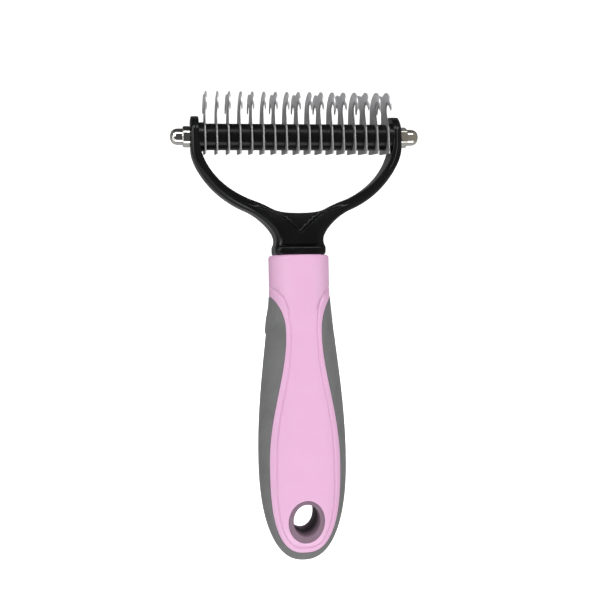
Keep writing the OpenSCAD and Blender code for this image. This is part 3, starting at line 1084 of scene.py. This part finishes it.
def sweep_floor():
    """A pale floor that curves up into a wall behind."""
    floor_z = cad_low.z / MM - 45
    bend_y, bend_r, half_width = 500, 400, 1800
    sweep = [(bend_y + bend_r * math.sin(a), floor_z + bend_r * (1 - math.cos(a)))
             for a in np.radians(np.linspace(0, 90, 16))]
    profile = [(-1500, floor_z)] + sweep + [(bend_y + bend_r, 1600)]
    co = np.array([(x, y, z) for y, z in profile for x in (-half_width, half_width)])
    faces = grid_faces(len(profile), 2)
    data = bpy.data.meshes.new("floor")
    data.from_pydata([tuple(p * MM) for p in co], [], faces)
    data.polygons.foreach_set("use_smooth", [True] * len(faces))
    data.materials.append(plain_material("pale_floor", (0.9, 0.9, 0.9), 0.75))
    floor = bpy.data.objects.new("studio_floor", data)
    bpy.context.scene.collection.objects.link(floor)
    floor.visible_glossy = False
    floor.visible_diffuse = False
    floor.visible_shadow = False


def soft_light(name, place_at, aim, size, power, shiny=True):
    """A rectangular lamp, unseen itself, whose reflection shows only if it is shiny."""
    data = bpy.data.lights.new(name, "AREA")
    data.shape = "RECTANGLE"
    data.size, data.size_y = size
    data.energy = power
    lamp = bpy.data.objects.new(name, data)
    bpy.context.scene.collection.objects.link(lamp)
    lamp.location = place_at
    lamp.rotation_euler = (Vector(aim) - Vector(place_at)).to_track_quat("-Z", "Y").to_euler()
    lamp.visible_camera = False
    lamp.visible_glossy = shiny


def studio_world():
    """A pale surround to the eye, soft grey as light, and darker where it mirrors."""
    world = bpy.data.worlds.new("studio")
    bpy.context.scene.world = world
    world.use_nodes = True
    n = Nodes(world.node_tree)
    way = n.new("ShaderNodeTexCoord").outputs["Generated"]
    x, y, z = n.new("ShaderNodeSeparateXYZ", Vector=way).outputs
    glow = n.math("MULTIPLY", n.between(y, -0.2, -0.95, 0.46, 0.162),
                  n.between(z, -0.6, 0.9, 0.75, 1.15))
    far = n.math("MINIMUM", n.between(z, -0.45, -0.1, 0.6, 0.2), n.between(
        z, 0.76, 0.84, 0.45, 0.03))
    left = n.math("MULTIPLY", n.between(x, -0.4, -0.65, 0, 1), n.between(z, 0.3, 0.0, 0, 1))
    left = n.math("MULTIPLY", left, n.between(y, -0.66, -0.52, 0, 1))
    near = n.blend(n.between(x, 0.1, 0.3, 0, 1), (0.075, 0.075, 0.08, 1),
                   (0.27, 0.255, 0.22, 1))
    near = n.blend(left, near, (1.1, 1.1, 1.1, 1))
    mirror = n.blend(n.between(y, -0.1, 0.2, 0, 1), near, n.new(
        "ShaderNodeCombineXYZ", X=far, Y=far, Z=far).outputs[0])
    plain = n.new("ShaderNodeCombineXYZ", X=glow, Y=glow, Z=glow).outputs[0]
    ray = n.new("ShaderNodeLightPath").outputs
    colour = n.blend(ray["Is Glossy Ray"], plain, mirror)
    colour = n.blend(ray["Is Camera Ray"], colour, (0.6, 0.6, 0.6, 1))
    surface = n.new("ShaderNodeBackground", Color=colour, Strength=1.0)
    n.new("ShaderNodeOutputWorld", Surface=surface.outputs[0])


sweep_floor()
studio_world()
middle = Vector((0, 0, 0.08))
soft_light("key", (-0.55, -0.55, 0.42), middle, (0.5, 0.6), 3.8)
soft_light("fill", (0.6, -0.5, 0.15), middle, (0.5, 0.6), 2.3, shiny=False)
soft_light("top", (0.0, -0.46, 0.65), middle, (0.7, 0.16), 2.2)
soft_light("low", (0.0, -0.2, -0.36), (0, 0, 0.04), (0.7, 0.2), 1.8)
soft_light("back", (0.3, 0.6, 0.3), middle, (0.5, 0.6), 2.6, shiny=False)

# ---------------------------------------------------------------- camera
yaw, pitch, roll = (math.radians(a) for a in (8.80, 0.99, -1.09))
target = Vector((0.30, 0, 79.57)) * MM
camera_away = 348.2 * MM
forward = Vector((math.sin(yaw) * math.cos(pitch), math.cos(yaw) * math.cos(pitch),
                  -math.sin(pitch)))
level = forward.cross(Vector((0, 0, 1))).normalized()
upright = level.cross(forward)
right = level * math.cos(roll) + upright * math.sin(roll)
up = upright * math.cos(roll) - level * math.sin(roll)
camera_data = bpy.data.cameras.new("camera")
camera_data.sensor_width = 36
camera_data.lens = 57.23
camera = bpy.data.objects.new("camera", camera_data)
bpy.context.scene.collection.objects.link(camera)
camera.matrix_world = Matrix.Translation(target - forward * camera_away) @ Matrix(
    (right, up, -forward)).transposed().to_4x4()
bpy.context.scene.camera = camera
bpy.context.scene.view_settings.view_transform = "Standard"
